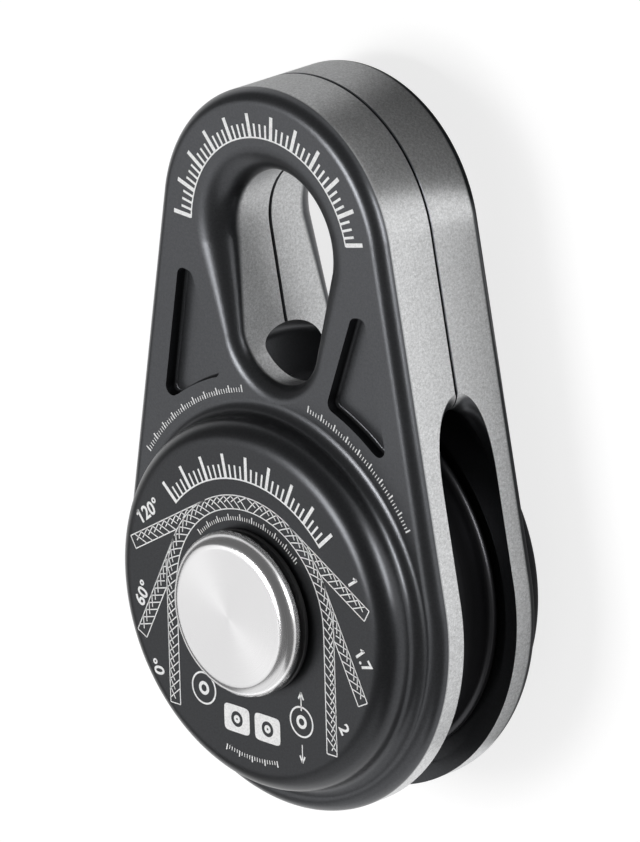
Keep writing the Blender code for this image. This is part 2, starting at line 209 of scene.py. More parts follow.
def belt(name, low_radius, top_radius, spacing, height):
    """Filled outline of a belt round two circles: a circle whose upper part is scaled and moved."""
    bpy.ops.object.select_all(action="DESELECT")
    bpy.ops.mesh.primitive_circle_add(
        vertices=ROUND_POINTS, radius=low_radius, fill_type="NGON", location=(0, 0, height)
    )
    piece = begin(name)
    bpy.ops.object.mode_set(mode="OBJECT")
    bpy.ops.object.transform_apply()
    edit(piece)
    tangent = low_radius * (low_radius - top_radius) / spacing
    pick(piece, lambda place: place.y > tangent)
    share = top_radius / low_radius
    bpy.ops.transform.resize(value=(share, share, 1), center_override=(0, 0, height))
    bpy.ops.transform.translate(value=(0, spacing, 0))
    return piece


def cut(piece, cutter, operation="DIFFERENCE"):
    """Join a piece with a cutter by a Boolean, and remove the cutter."""
    alone(piece)
    boolean = piece.modifiers.new("cut", "BOOLEAN")
    boolean.operation = operation
    boolean.object = cutter
    bpy.ops.object.modifier_apply(modifier=boolean.name)
    bpy.data.objects.remove(cutter)


def plate_blank():
    """Belt outline extruded to the plate's height, its outer edge rounded and its inner one broken."""
    blank = belt("blank", LOWER_RADIUS, EYE_END_RADIUS, EYE_DISTANCE, PARTING_HALF)
    bpy.ops.mesh.select_all(action="SELECT")
    raise_by(PLATE_HEIGHT - PARTING_HALF)
    pick(blank, lambda place: place.z > PLATE_HEIGHT - MM)
    bpy.ops.mesh.bevel(offset=EDGE_ROUND, segments=ROUND_STEPS, affect="EDGES")
    pick(blank, lambda place: place.z < PARTING_HALF + NEAR)
    bpy.ops.mesh.bevel(offset=PARTING_CHAMFER, segments=2, affect="EDGES")
    close_outwards()
    return blank


def boss_section():
    """Section of the boss: a cove up from the plate's face, then a rounded rim."""
    foot = BOSS_RADIUS + BOSS_COVE
    section = [(0, RECESS_FLOOR + MM), (foot, RECESS_FLOOR + MM)]
    section += arc((foot, PLATE_HEIGHT + BOSS_COVE), BOSS_COVE, 270, 180, ROUND_STEPS)
    section += arc((BOSS_RADIUS - BOSS_ROUND, BOSS_FACE - BOSS_ROUND), BOSS_ROUND, 0, 90, ROUND_STEPS)
    return section + [(0, BOSS_FACE)]


def eye_cutter():
    """Eye: straight through the plate, flaring out to the face, wider at the top than below."""
    low_y = EYE_DISTANCE - EYE_ARC_SPACING
    low = EYE_LOW_RADIUS + PARTING_CHAMFER
    top = EYE_TOP_RADIUS + PARTING_CHAMFER
    eye = belt("eye", low, top, EYE_ARC_SPACING, -CUT_OVER)
    bpy.ops.mesh.select_all(action="SELECT")
    bpy.ops.transform.translate(value=(0, low_y, 0))
    divide = low_y + EYE_ARC_SPACING / 2
    place_low = Vector((0, low_y, 0))
    place_top = Vector((0, EYE_DISTANCE, 0))
    rows = [(low, top, PARTING_HALF, PARTING_HALF)]
    first = PARTING_HALF + PARTING_CHAMFER
    rows.append((EYE_LOW_RADIUS, EYE_TOP_RADIUS, first, first))
    for step in range(ROUND_STEPS + 1):
        angle = math.radians(90 * step / ROUND_STEPS)
        out, up = 1 - math.cos(angle), 1 - math.sin(angle)
        rows.append((
            EYE_LOW_RADIUS + EYE_ROUND_LOW * out, EYE_TOP_RADIUS + EYE_ROUND_TOP * out,
            PLATE_HEIGHT - EYE_ROUND_LOW * up, PLATE_HEIGHT - EYE_ROUND_TOP * up,
        ))
    rows.append((rows[-1][0], rows[-1][1], PLATE_HEIGHT + CUT_OVER, PLATE_HEIGHT + CUT_OVER))
    radii = (low, top)
    heights = (-CUT_OVER, -CUT_OVER)
    for new_low, new_top, low_height, top_height in rows:
        bpy.ops.mesh.extrude_region_move()
        mesh = bmesh.from_edit_mesh(eye.data)
        ring = [vert for vert in mesh.verts if vert.select]
        for vert in ring:
            upper = vert.co.y > divide
            centre = place_top if upper else place_low
            share = (new_top / radii[1]) if upper else (new_low / radii[0])
            vert.co.x = centre.x + (vert.co.x - centre.x) * share
            vert.co.y = centre.y + (vert.co.y - centre.y) * share
            vert.co.z = top_height if upper else low_height
        bmesh.update_edit_mesh(eye.data)
        radii = (new_low, new_top)
    close_outwards()
    return eye


def channel_edge(share, rise):
    """Place on the channel's roof line, from the middle (0) over the exit's round to outside (1)."""
    roof = CHANNEL_SHOULDER_RADIUS + CHANNEL_ROOF_RISE * rise
    lip = EXIT_EDGE + (EXIT_ROUND - EXIT_EDGE) * rise
    out = LOWER_RADIUS + EXIT_OVER - lip
    along = math.sqrt((roof + lip) ** 2 - out ** 2)
    toward = SIDE_LEAN + math.atan2(along, out)
    if share <= ROOF_SHARE:
        angle = math.pi / 2 + (toward - math.pi / 2) * share / ROOF_SHARE
        return Vector((math.cos(angle), math.sin(angle))) * roof
    centre = Vector((math.cos(toward), math.sin(toward))) * math.hypot(out, along)
    turned = min(1, (share - ROOF_SHARE) / EXIT_SHARE)
    angle = (toward - math.pi) * (1 - turned)
    place = centre + Vector((math.cos(angle), math.sin(angle))) * lip
    beyond = max(0, share - ROOF_SHARE - EXIT_SHARE) / (1 - ROOF_SHARE - EXIT_SHARE)
    return place + Vector((LOWER_RADIUS + CUT_OVER - place.x, 0)) * beyond


def channel_cutter():
    """Rope channel: a roof round the pin's axis, rounded off at both exits, open away from the eye."""
    bpy.ops.object.select_all(action="DESELECT")
    across, along = CHANNEL_STEPS
    bpy.ops.mesh.primitive_grid_add(x_subdivisions=across, y_subdivisions=along, size=2)
    channel = begin("channel")
    mesh = bmesh.from_edit_mesh(channel.data)
    for vert in mesh.verts:
        turned = vert.co.y * math.pi / 2
        place = channel_edge(abs(vert.co.x), math.cos(turned))
        height = CHANNEL_HALF * math.sin(turned)
        vert.co = (math.copysign(place.x, vert.co.x), place.y, height)
    bmesh.update_edit_mesh(channel.data)
    bpy.ops.mesh.select_all(action="SELECT")
    bpy.ops.mesh.extrude_region_move()
    bpy.ops.transform.resize(
        value=(1, 0, 1), center_override=(0, -LOWER_RADIUS - 2 * CUT_OVER, 0)
    )
    close_outwards()
    return channel


def drum(name, radius, low, high):
    """Plain round cutter between two heights."""
    bpy.ops.object.select_all(action="DESELECT")
    bpy.ops.mesh.primitive_cylinder_add(
        vertices=ROUND_POINTS, radius=radius, depth=high - low, location=(0, 0, (low + high) / 2)
    )
    bpy.context.object.name = name
    bpy.ops.object.transform_apply()
    return bpy.context.object


def round_corner(before, corner, after, radius, steps=8):
    """Points of an outline's corner that is rounded to a radius."""
    first = (before - corner).normalized()
    last = (after - corner).normalized()
    half = first.angle(last) / 2
    centre = corner + (first + last).normalized() * radius / math.sin(half)
    start = corner + first * radius / math.tan(half) - centre
    sweep = start.angle_signed(corner + last * radius / math.tan(half) - centre)
    angle = math.degrees(math.atan2(start.y, start.x))
    return arc(centre, radius, angle, angle - math.degrees(sweep), steps)


def pocket_cutter(side):
    """Pocket beside the eye: a low three-cornered recess along the plate's straight side."""
    along = math.sqrt(POCKET_BASE_RADIUS ** 2 - POCKET_SIDE_DISTANCE ** 2)
    outward = Vector((math.cos(SIDE_LEAN), math.sin(SIDE_LEAN)))
    upward = Vector((-outward.y, outward.x))
    outer_low = POCKET_SIDE_DISTANCE * outward + along * upward
    outer_top = outer_low + POCKET_HEIGHT * upward
    inner_top = outer_top - POCKET_TIP_WIDTH * outward
    start = math.degrees(math.atan2(outer_low.y, outer_low.x))
    sweep = math.degrees(POCKET_WIDTH / POCKET_BASE_RADIUS)
    base = arc((0, 0), POCKET_BASE_RADIUS, start + sweep, start, POCKET_BASE_STEPS)
    base = [Vector(place) for place in base]
    inner_low = base[0]
    outline = []
    for before, corner, after in (
        (base[-1 - POCKET_BASE_NEAR], outer_low, outer_top),
        (outer_low, outer_top, inner_top),
        (outer_top, inner_top, inner_low),
        (inner_top, inner_low, base[POCKET_BASE_NEAR]),
    ):
        outline += round_corner(before, corner, after, POCKET_CORNER_ROUND)
    low, high = Vector(outline[0]), Vector(outline[-1])
    margin = (outer_low - inner_low).length * POCKET_BASE_MARGIN
    outline += [
        place for place in base
        if (place - outer_low).length > (low - outer_low).length + margin
        and (place - inner_low).length > (high - inner_low).length + margin
    ]
    floor_height = PLATE_HEIGHT - POCKET_DEPTH
    pocket = flat_outline("pocket", [(side * x, y) for x, y in outline], floor_height)
    raise_by(POCKET_DEPTH + CUT_OVER)
    pick(pocket, lambda place: place.z < floor_height + NEAR)
    bpy.ops.mesh.bevel(offset=POCKET_FLOOR_ROUND, segments=6, affect="EDGES")
    close_outwards()
    return pocket


def smooth(piece, limit=SMOOTH_ANGLE):
    """Shade a piece smooth across its shallow edges, with its flat faces kept flat."""
    alone(piece)
    bpy.ops.object.shade_smooth_by_angle(angle=math.radians(limit))
    weighted = piece.modifiers.new("weighted", "WEIGHTED_NORMAL")
    weighted.keep_sharp = True
    bpy.ops.object.modifier_apply(modifier=weighted.name)


def settle(piece, turn_over=False):
    """Move a finished piece from the origin to the pin's axis, turned over if it is a rear one."""
    alone(piece)
    flip = Matrix.Rotation(math.pi, 4, "Y") if turn_over else Matrix.Identity(4)
    piece.matrix_world = Matrix.Translation(MIDDLE) @ flip
    bpy.ops.object.transform_apply()


def side_plate(name):
    """One plate, its outer face towards +Z."""
    plate = plate_blank()
    plate.name = name
    plate.data.name = name
    cut(plate, turn("boss", boss_section()), "UNION")
    cut(plate, eye_cutter())
    cut(plate, channel_cutter())
    cut(plate, drum("recess", RECESS_RADIUS, -RECESS_FLOOR, RECESS_FLOOR))
    for side in (-1, 1):
        cut(plate, pocket_cutter(side))
    cut(plate, drum("bore", BORE_RADIUS, 0, BOSS_FACE + CUT_OVER))
    return plate


def new_material(name):
    """Material of one finish, and its node tree and shader."""
    material = bpy.data.materials.new(name)
    material.use_nodes = True
    return material, material.node_tree, material.node_tree.nodes["Principled BSDF"]


def add_node(tree, kind, **settings):
    """Add a node and set its properties and its inputs by name."""
    node = tree.nodes.new("ShaderNode" + kind)
    for key, value in settings.items():
        if key in node.inputs:
            node.inputs[key].default_value = value
        else:
            setattr(node, key, value)
    return node


def noise(tree, scale, detail, roughness=0.5):
    """Noise on Object coordinates."""
    place = add_node(tree, "TexCoord")
    node = add_node(tree, "TexNoise", Scale=scale, Detail=detail, Roughness=roughness)
    tree.links.new(place.outputs["Object"], node.inputs["Vector"])
    return node.outputs["Fac"]


def from_axis(tree):
    """Object coordinates measured from the pin's axis and the parting plane, as X, Y and Z."""
    place = add_node(tree, "TexCoord")
    centred = add_node(tree, "Mapping")
    centred.inputs["Location"].default_value = -MIDDLE
    tree.links.new(place.outputs["Object"], centred.inputs["Vector"])
    parts = add_node(tree, "SeparateXYZ")
    tree.links.new(centred.outputs["Vector"], parts.inputs["Vector"])
    return parts.outputs


def fill(tree, socket, value):
    """Give a socket another node's output or a plain value."""
    if isinstance(value, bpy.types.NodeSocket):
        tree.links.new(value, socket)
    else:
        socket.default_value = value


def reckon(tree, operation, *values):
    """Math node on outputs of other nodes and plain numbers."""
    node = add_node(tree, "Math", operation=operation)
    for socket, value in zip(node.inputs, values):
        fill(tree, socket, value)
    return node.outputs["Value"]


def remap(tree, source, after, before=(0, 1), interpolation="LINEAR"):
    """Change the range of an output's values."""
    node = add_node(tree, "MapRange", interpolation_type=interpolation)
    node.inputs["From Min"].default_value, node.inputs["From Max"].default_value = before
    node.inputs["To Min"].default_value, node.inputs["To Max"].default_value = after
    tree.links.new(source, node.inputs["Value"])
    return node.outputs["Result"]


def shaded(tree, colour, shade):
    """Multiply a colour by a shade."""
    node = add_node(tree, "Mix", data_type="RGBA", blend_type="MULTIPLY")
    node.inputs["Factor"].default_value = 1.0
    fill(tree, node.inputs["A"], colour)
    tree.links.new(shade, node.inputs["B"])
    return node.outputs["Result"]


def bumped(tree, shader, height, strength, depth):
    """Raise a shader's surface by an output's values."""
    bump = add_node(tree, "Bump", Strength=strength, Distance=depth)
    tree.links.new(height, bump.inputs["Height"])
    tree.links.new(bump.outputs["Normal"], shader.inputs["Normal"])


def anodised(name, face_colour, wall_colour, boss_painted_shade):
    """Bead-blasted anodised aluminium: finely grained faces, and walls whose cutter marks show. The
    face colour gets painted shade up the boss, darker at the boss's face by the share given.
    """
    material, tree, shader = new_material(name)
    link = tree.links.new
    grain = noise(tree, GRAIN_SCALE, 3.0, 0.65)
    mottle = noise(tree, MOTTLE_SCALE, 3.0, 0.6)
    cloud = noise(tree, CLOUD_SCALE, 4.0, 0.55)
    facing = add_node(tree, "SeparateXYZ")
    link(add_node(tree, "TexCoord").outputs["Normal"], facing.inputs["Vector"])
    upright = reckon(tree, "ABSOLUTE", facing.outputs["Z"])
    flat = remap(tree, upright, (0, 1), (0, WALL_TILT), "SMOOTHSTEP")
    height = reckon(tree, "ABSOLUTE", from_axis(tree)["Z"])
    pocket_floor = PLATE_HEIGHT - POCKET_DEPTH
    above = remap(tree, height, (0, 1), (pocket_floor - FLOOR_FADE, pocket_floor), "SMOOTHSTEP")
    outer = reckon(tree, "MAXIMUM", flat, above)
    # Painted shade: the face colour darkens from the plate's face up to the boss's face, standing in
    # for the overhead light falling off towards the boss.
    painted_boss_shade = remap(tree, height, (1, boss_painted_shade), (PLATE_HEIGHT, BOSS_FACE), "SMOOTHSTEP")
    colour = add_node(tree, "Mix", data_type="RGBA")
    colour.inputs["A"].default_value = (*wall_colour, 1)
    link(shaded(tree, (*face_colour, 1), painted_boss_shade), colour.inputs["B"])
    link(outer, colour.inputs["Factor"])
    strength = remap(tree, outer, (WALL_GRAIN, FACE_GRAIN))
    both = reckon(tree, "ADD", grain, mottle)
    spread = reckon(tree, "SUBTRACT", both, 1)
    shade = reckon(tree, "MULTIPLY_ADD", spread, strength, 1)
    link(shaded(tree, colour.outputs["Result"], shade), shader.inputs["Base Color"])
    link(remap(tree, cloud, (0.27, 0.37)), shader.inputs["Roughness"])
    bumped(tree, shader, both, 0.25, BLAST_DEPTH)
    shader.inputs["Metallic"].default_value = 0.9
    return material


# The last value is painted shade: the share of the face colour left on the boss's face.
PLATE_FINISH = anodised("grey_anodised", (0.072, 0.074, 0.079), (0.6, 0.605, 0.61), 0.62)
front_plate = side_plate("front_plate")
rear_plate = front_plate.copy()
rear_plate.data = front_plate.data.copy()
rear_plate.name = "rear_plate"
bpy.context.scene.collection.objects.link(rear_plate)
cut(rear_plate, drum("ring_seat", RING_SEAT_RADIUS, RING_SEAT_FLOOR, BOSS_FACE + CUT_OVER))
for plate, node, body in (
    (front_plate, "front_side_plate", "front_half"),
    (rear_plate, "rear_side_plate", "rear_half"),
):
    smooth(plate, PLATE_SMOOTH_ANGLE)
    settle(plate, turn_over=plate is rear_plate)
    plate.data.materials.clear()
    plate.data.materials.append(PLATE_FINISH)
    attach(plate, body)
    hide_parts(node)


# Sheave
# The rope wheel is turned from aluminium and anodised dark, with a deep round groove, narrow
# rounded flanges and sunk hub faces. Its bore holds the bushing.
SHEAVE_RADIUS = 49.2 * MM
SHEAVE_HALF = 11.5 * MM
RIM_ROUND = 1.6 * MM
HUB_FACE_RADIUS = 24.0 * MM
HUB_HALF = 10.0 * MM
BUSHING_RADIUS = 15.6 * MM
FIT_GAP = 0.3 * MM
EDGE_BREAK = 0.25 * MM
LATHE_PITCH = 0.22 * MM
LATHE_DEPTH = 0.01 * MM
LATHE_SPREAD = 0.05


def mirrored(half):
    """Section of (radius, height) points from the upper half of it."""
    return half + [(radius, -height) for radius, height in reversed(half) if height > 0]


def ring_section(inner, outer, low, high, edge=EDGE_BREAK):
    """Section of a flat ring with its four edges broken."""
    return [
        (inner + edge, low), (outer - edge, low), (outer, low + edge), (outer, high - edge),
        (outer - edge, high), (inner + edge, high), (inner, high - edge), (inner, low + edge),
    ]


def lathe_lines(name, colour, roughness, metallic, pitch=LATHE_PITCH, strength=0.4):
    """Turned metal: fine rings round the pin's axis, which come from radius and height alone."""
    material, tree, shader = new_material(name)
    link = tree.links.new
    parts = from_axis(tree)
    flat = add_node(tree, "CombineXYZ")
    link(parts["X"], flat.inputs["X"])
    link(parts["Y"], flat.inputs["Y"])
    radius = add_node(tree, "VectorMath", operation="LENGTH")
    link(flat.outputs["Vector"], radius.inputs["Vector"])
    section = add_node(tree, "CombineXYZ")
    link(radius.outputs["Value"], section.inputs["X"])
    link(parts["Z"], section.inputs["Y"])
    rings = add_node(tree, "TexNoise", Scale=1 / pitch, Detail=2.0, Roughness=0.5)
    link(section.outputs["Vector"], rings.inputs["Vector"])
    lines = rings.outputs["Fac"]
    link(shaded(tree, (*colour, 1), remap(tree, lines, (0.8, 1.2))), shader.inputs["Base Color"])
    spread = (roughness - LATHE_SPREAD, roughness + LATHE_SPREAD)
    link(remap(tree, lines, spread), shader.inputs["Roughness"])
    bumped(tree, shader, lines, strength, LATHE_DEPTH)
    shader.inputs["Metallic"].default_value = metallic
    return material


def dress(piece, material, node, body):
    """Shade, place and finish a piece that stands for a node of the frame."""
    smooth(piece)
    settle(piece)
    piece.data.materials.clear()
    piece.data.materials.append(material)
    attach(piece, body)
    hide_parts(node)
    return piece


rim = SHEAVE_RADIUS - RIM_ROUND
groove_radius = SHEAVE_HALF - 2 * RIM_ROUND
bore = BUSHING_RADIUS + FIT_GAP
upper_half = [(bore, HUB_HALF - EDGE_BREAK), (bore + EDGE_BREAK, HUB_HALF)]
upper_half += [(HUB_FACE_RADIUS, HUB_HALF), (HUB_FACE_RADIUS + EDGE_BREAK, SHEAVE_HALF)]
upper_half += arc((rim, SHEAVE_HALF - RIM_ROUND), RIM_ROUND, 90, -90, 2 * ROUND_STEPS)
upper_half += arc((rim, 0), groove_radius, 90, 180, 3 * ROUND_STEPS)[1:]
SHEAVE_FINISH = lathe_lines("dark_turned", (0.05, 0.05, 0.054), 0.34, 0.85)
dress(
    turn("rope_sheave", mirrored(upper_half)), SHEAVE_FINISH, "sheave", "sheave_assembly"
)

# Sheave bushing
# A plain bearing turned from oiled bronze and pressed into the sheave's bore. It turns with the
# sheave on the pin.
BUSHING_HALF = 9.7 * MM
BRONZE_FINISH = lathe_lines("oiled_bronze", (0.5, 0.32, 0.14), 0.36, 1.0)
dress(
    turn("bronze_bushing", ring_section(BORE_RADIUS, BUSHING_RADIUS, -BUSHING_HALF, BUSHING_HALF)),
    BRONZE_FINISH, "sheave_bushing", "sheave_assembly",
)

# Thrust washers
# A washer turned from white acetal lies on each hub face and keeps the sheave off the plates. The
# pin runs through both and holds them in place.
THRUST_RADIUS = 22.0 * MM
THRUST_THICKNESS = 1.5 * MM
THRUST_BASE = HUB_HALF + FIT_GAP
PLASTIC_MOTTLE = 900.0
PLASTIC_DEPTH = 0.02 * MM


def plastic(name, colour, roughness):
    """Plain plastic with a faint mottle."""
    material, tree, shader = new_material(name)
    mottle = noise(tree, PLASTIC_MOTTLE, 3.0)
    shade = remap(tree, mottle, (0.85, 1.1))
    tree.links.new(shaded(tree, (*colour, 1), shade), shader.inputs["Base Color"])
    bumped(tree, shader, mottle, 0.2, PLASTIC_DEPTH)
    shader.inputs["Roughness"].default_value = roughness
    return material


WHITE_PLASTIC = plastic("white_acetal", (0.72, 0.72, 0.69), 0.4)
for label, node, body, low in (
    ("front_plastic_washer", "front_thrust_washer", "front_half", THRUST_BASE),
    ("rear_plastic_washer", "rear_thrust_washer", "rear_half", -THRUST_BASE - THRUST_THICKNESS),
):
    section = ring_section(BORE_RADIUS, THRUST_RADIUS, low, low + THRUST_THICKNESS)
    dress(turn(label, section), WHITE_PLASTIC, node, body)

# Centre pin
# The pin is turned from stainless steel. Its head is faced to a fine spiral and rounded off
# broadly over a narrower collar, and its rear end is grooved for the retaining ring.
PIN_RADIUS = 12.7 * MM
HEAD_COLLAR_RADIUS = 19.7 * MM
HEAD_RADIUS = 21.8 * MM
HEAD_BASE = 30.8 * MM
HEAD_TOP = PIN_HIGH.z - MIDDLE.z
HEAD_ROUND = 4.0 * MM
HEAD_LIP = 4.5 * MM
CENTRE_MARK = 0.35 * MM
PIN_END = MIDDLE.z - PIN_LOW.z
PIN_END_CHAMFER = 0.8 * MM
RING_GROOVE_FLOOR = 11.5 * MM
RING_GROOVE_LOW = 26.1 * MM
RING_GROOVE_HIGH = 24.0 * MM
FACING_PITCH = 0.16 * MM

pin_section = [(0, -PIN_END), (PIN_RADIUS - PIN_END_CHAMFER, -PIN_END)]
pin_section += [(PIN_RADIUS, -PIN_END + PIN_END_CHAMFER), (PIN_RADIUS, -RING_GROOVE_LOW)]
pin_section += [(RING_GROOVE_FLOOR, -RING_GROOVE_LOW), (RING_GROOVE_FLOOR, -RING_GROOVE_HIGH)]
pin_section += [(PIN_RADIUS, -RING_GROOVE_HIGH), (PIN_RADIUS, HEAD_BASE)]
pin_section += [(HEAD_COLLAR_RADIUS, HEAD_BASE), (HEAD_COLLAR_RADIUS, HEAD_TOP - HEAD_LIP)]
pin_section += [(HEAD_RADIUS - EDGE_BREAK, HEAD_TOP - HEAD_LIP)]
pin_section += [(HEAD_RADIUS, HEAD_TOP - HEAD_LIP + EDGE_BREAK)]
head_rim = (HEAD_RADIUS - HEAD_ROUND, HEAD_TOP - HEAD_ROUND)
pin_section += arc(head_rim, HEAD_ROUND, 0, 90, 2 * ROUND_STEPS)
pin_section += [(CENTRE_MARK, HEAD_TOP), (0, HEAD_TOP - CENTRE_MARK / 2)]
STEEL_FINISH = lathe_lines(
    "faced_stainless", (0.76, 0.755, 0.76), 0.22, 1.0, pitch=FACING_PITCH, strength=0.1
)
shader = STEEL_FINISH.node_tree.nodes["Principled BSDF"]
shader.inputs["Anisotropic"].default_value = 0.55
around = add_node(STEEL_FINISH.node_tree, "Tangent", direction_type="RADIAL", axis="Z")
STEEL_FINISH.node_tree.links.new(around.outputs["Tangent"], shader.inputs["Tangent"])
dress(turn("headed_pin", pin_section), STEEL_FINISH, "centre_pin", "rear_half")

# Head washer
# A thin nylon washer, punched from sheet, lies under the pin's head and keeps the steel off the
# anodised boss. Its near-black colour is painted shade, for the shadow under the head's broad rim.
HEAD_WASHER_RADIUS = 21.6 * MM
HEAD_WASHER_LOW = 29.3 * MM
HEAD_WASHER_HIGH = 30.5 * MM
# Near-black colour: painted shade under the pin head's rim.
NYLON_SHADE_BLACK = plastic("black_nylon", (0.012, 0.012, 0.013), 0.45)
section = ring_section(BORE_RADIUS, HEAD_WASHER_RADIUS, HEAD_WASHER_LOW, HEAD_WASHER_HIGH)
dress(turn("nylon_washer", section), NYLON_SHADE_BLACK, "head_washer", "front_half")

# Ring washer
# A plated steel washer lies round the pin in a seat sunk in the rear boss. It takes the push of
# the retaining ring.
RING_WASHER_LOW = 22.8 * MM
RING_WASHER_THICKNESS = 1.2 * MM
RING_WASHER_RADIUS = 18.0 * MM
PLATED_STEEL = lathe_lines("plated_steel", (0.5, 0.5, 0.5), 0.32, 1.0)
section = ring_section(
    BORE_RADIUS, RING_WASHER_RADIUS, -RING_WASHER_LOW - RING_WASHER_THICKNESS, -RING_WASHER_LOW
)
dress(turn("plated_washer", section), PLATED_STEEL, "ring_washer", "rear_half")

# Retaining ring
# An open ring stamped from spring steel snaps into the pin's groove and keeps the pin from coming
# out. Pliers spread it by its two drilled lugs.
RING_LOW = 24.3 * MM
RING_THICKNESS = 1.5 * MM
RING_INNER_RADIUS = 11.8 * MM
RING_OUTER_RADIUS = 15.2 * MM
RING_LUG_RADIUS = 18.0 * MM
RING_OPENING = 14
RING_LUG_END = 34
RING_HOLE_RADIUS = 0.9 * MM
RING_EDGE = 0.18 * MM
RING_STEPS = 160
RING_OUTER_STEPS = 140
RING_LUG_STEPS = 12
RING_EDGE_ANGLE = 40


def ring_outline():
    """Outline of the ring seen along the pin, open away from the eye, with a lug at each end."""
    first, last = -90 + RING_OPENING, 270 - RING_OPENING
    lug = RING_LUG_END - RING_OPENING
    outline = arc((0, 0), RING_INNER_RADIUS, last, first, RING_STEPS)
    outline += arc((0, 0), RING_LUG_RADIUS, first, first + lug, RING_LUG_STEPS)
    outline += arc((0, 0), RING_OUTER_RADIUS, first + lug, last - lug, RING_OUTER_STEPS)
    return outline + arc((0, 0), RING_LUG_RADIUS, last - lug, last, RING_LUG_STEPS)


def retaining_ring():
    """Ring stamped from spring steel, its edges tumbled and its lugs drilled for the pliers."""
    ring = flat_outline("spring_ring", ring_outline(), -RING_LOW - RING_THICKNESS)
    raise_by(RING_THICKNESS)
    close_outwards()
    middle = math.radians(-90 + (RING_OPENING + RING_LUG_END) / 2)
    away = (RING_INNER_RADIUS + RING_LUG_RADIUS) / 2
    for side in (-1, 1):
        hole = drum("lug_hole", RING_HOLE_RADIUS, -RING_LOW - 2 * RING_THICKNESS, RING_THICKNESS)
        hole.location = (side * away * math.cos(middle), away * math.sin(middle), 0)
        cut(ring, hole)
    edge = ring.modifiers.new("tumbled", "BEVEL")
    edge.width = RING_EDGE
    edge.segments = 3
    edge.limit_method = "ANGLE"
    edge.angle_limit = math.radians(RING_EDGE_ANGLE)
    bpy.context.view_layer.objects.active = ring
    bpy.ops.object.modifier_apply(modifier=edge.name)
    return ring


SPRING_STEEL = lathe_lines("spring_steel", (0.1, 0.1, 0.105), 0.34, 0.95)
dress(retaining_ring(), SPRING_STEEL, "retaining_ring", "rear_half")

# Print
# White ink is printed on the front plate: a diagram of the rope's three lead angles round the pin
# with their numbers, and plain graduated scales and marks round the boss and the eye.
INK_LIFT = 0.03 * MM
INK_SUNK = 0.01 * MM
LINE_WIDTH = 0.3 * MM
ROPE_PATH_RADIUS = 28.4 * MM
ROPE_HALF_WIDTH = 1.8 * MM
ROPE_LEG = 32.3 * MM
BRAID_PITCH = 2.5 * MM
BRAID_LEAN = 3.2 * MM
NUMBER_SIZE = 5.0 * MM
NUMBER_BOLD = 0.12 * MM
ROPE_LEANS = (0, 27, 60)
ROPE_STEPS = 64
ROUND_MARK_STEP = 4
FEWEST_MARK_STEPS = 12
SHORT_TICK_SHARE = 0.6

# Scales in mm and degrees: radius, start, end, ticks, long and short tick, ticks to a long, width
BOSS_SCALES = (
    (34.8, 138, 42, 32, 6.2, 3.4, 4, 1.0),
    (23.6, 136, 44, 46, 1.7, 1.0, 5, 0.35),
    (39.9, -104, -78, 20, 1.7, 1.1, 5, 0.4),
)
EYE_SCALE = (28.2, 176, 12, 44, 6.0, 3.4, 4, 1.1)
PLATE_SCALES = ((54.4, 147, 102, 45, 1.9, 1.2, 5, 0.42), (54.4, 77, 32, 45, 1.9, 1.2, 5, 0.42))

# Lines at the foot of two scales in mm and degrees: radius, width, start, end
BOSS_SCALE_LINE = (34.6, 0.4, 138.8, 41.2)
EYE_SCALE_LINE = (28.0, 0.4, 176.8, 11.2)

# Round marks in mm: middle, radius and width of the line
ROUND_MARKS = (
    ((-17.7, -25.5), 4.2, 0.5),
    ((-17.7, -25.5), 1.4, 0.9),
    ((17.7, -26.0), 4.0, 0.5),
    ((17.7, -26.0), 1.4, 0.9),
    ((-5.9, -31.1), 0.7, 0.8),
    ((5.2, -31.1), 0.7, 0.8),
)
PLAQUE_MIDDLES = ((-5.9, -31.1), (5.2, -31.1))
PLAQUE_HALF_WIDTH = 4.6 * MM
PLAQUE_HALF_HEIGHT = 3.7 * MM
PLAQUE_HOLE = 2.1 * MM
PLAQUE_STEPS = 48
PLAQUE_SQUARENESS = 0.3
ARROW_MIDDLE = Vector((17.7, -27.6)) * MM
ARROW_REACH = 9.6 * MM
ARROW_LENGTH = 5.0 * MM
ARROW_WIDTH = 0.35 * MM
ARROW_BARB = (0.9 * MM, 1.9 * MM)
ARROW_BARB_WIDTH = 0.5 * MM
ONE_FLAG_FOOT = (1.3, 3.3)
ONE_FLAG_SIZE = (1.0, 0.8)
ONE_FLAG_WIDTH = 0.55 * MM


def stroke(mesh, line, width=LINE_WIDTH):
    """Add a ribbon of ink along a line's points."""
    sides = []
    for index, place in enumerate(line):
        ahead = line[min(index + 1, len(line) - 1)] - line[max(index - 1, 0)]
        across = Vector((-ahead.y, ahead.x)).normalized() * width / 2
        sides.append([mesh.verts.new((*(place + way * across), 0)) for way in (1, -1)])
    for (left, right), (next_left, next_right) in zip(sides, sides[1:]):
        mesh.faces.new((left, right, next_right, next_left))


def scale(mesh, centre, radius, start, end, count, long_tick, short_tick, every, width):
    """Graduated scale on an arc, each tick pointing outwards, long ones at every few."""
    for index in range(count + 1):
        angle = math.radians(start + (end - start) * index / count)
        outward = Vector((math.cos(angle), math.sin(angle)))
        is_long = index % every == 0
        length = (long_tick if is_long else short_tick) * MM
        foot = Vector(centre) + outward * radius * MM
        share = 1.0 if is_long else SHORT_TICK_SHARE
        stroke(mesh, [foot, foot + outward * length], width * MM * share)


def round_line(mesh, centre, radius, width, start=0, end=360):
    """Line of ink along an arc, sizes in mm."""
    steps = max(FEWEST_MARK_STEPS, int(abs(end - start) / ROUND_MARK_STEP))
    line = [Vector(place) for place in arc(centre, radius * MM, start, end, steps)]
    stroke(mesh, line, width * MM)


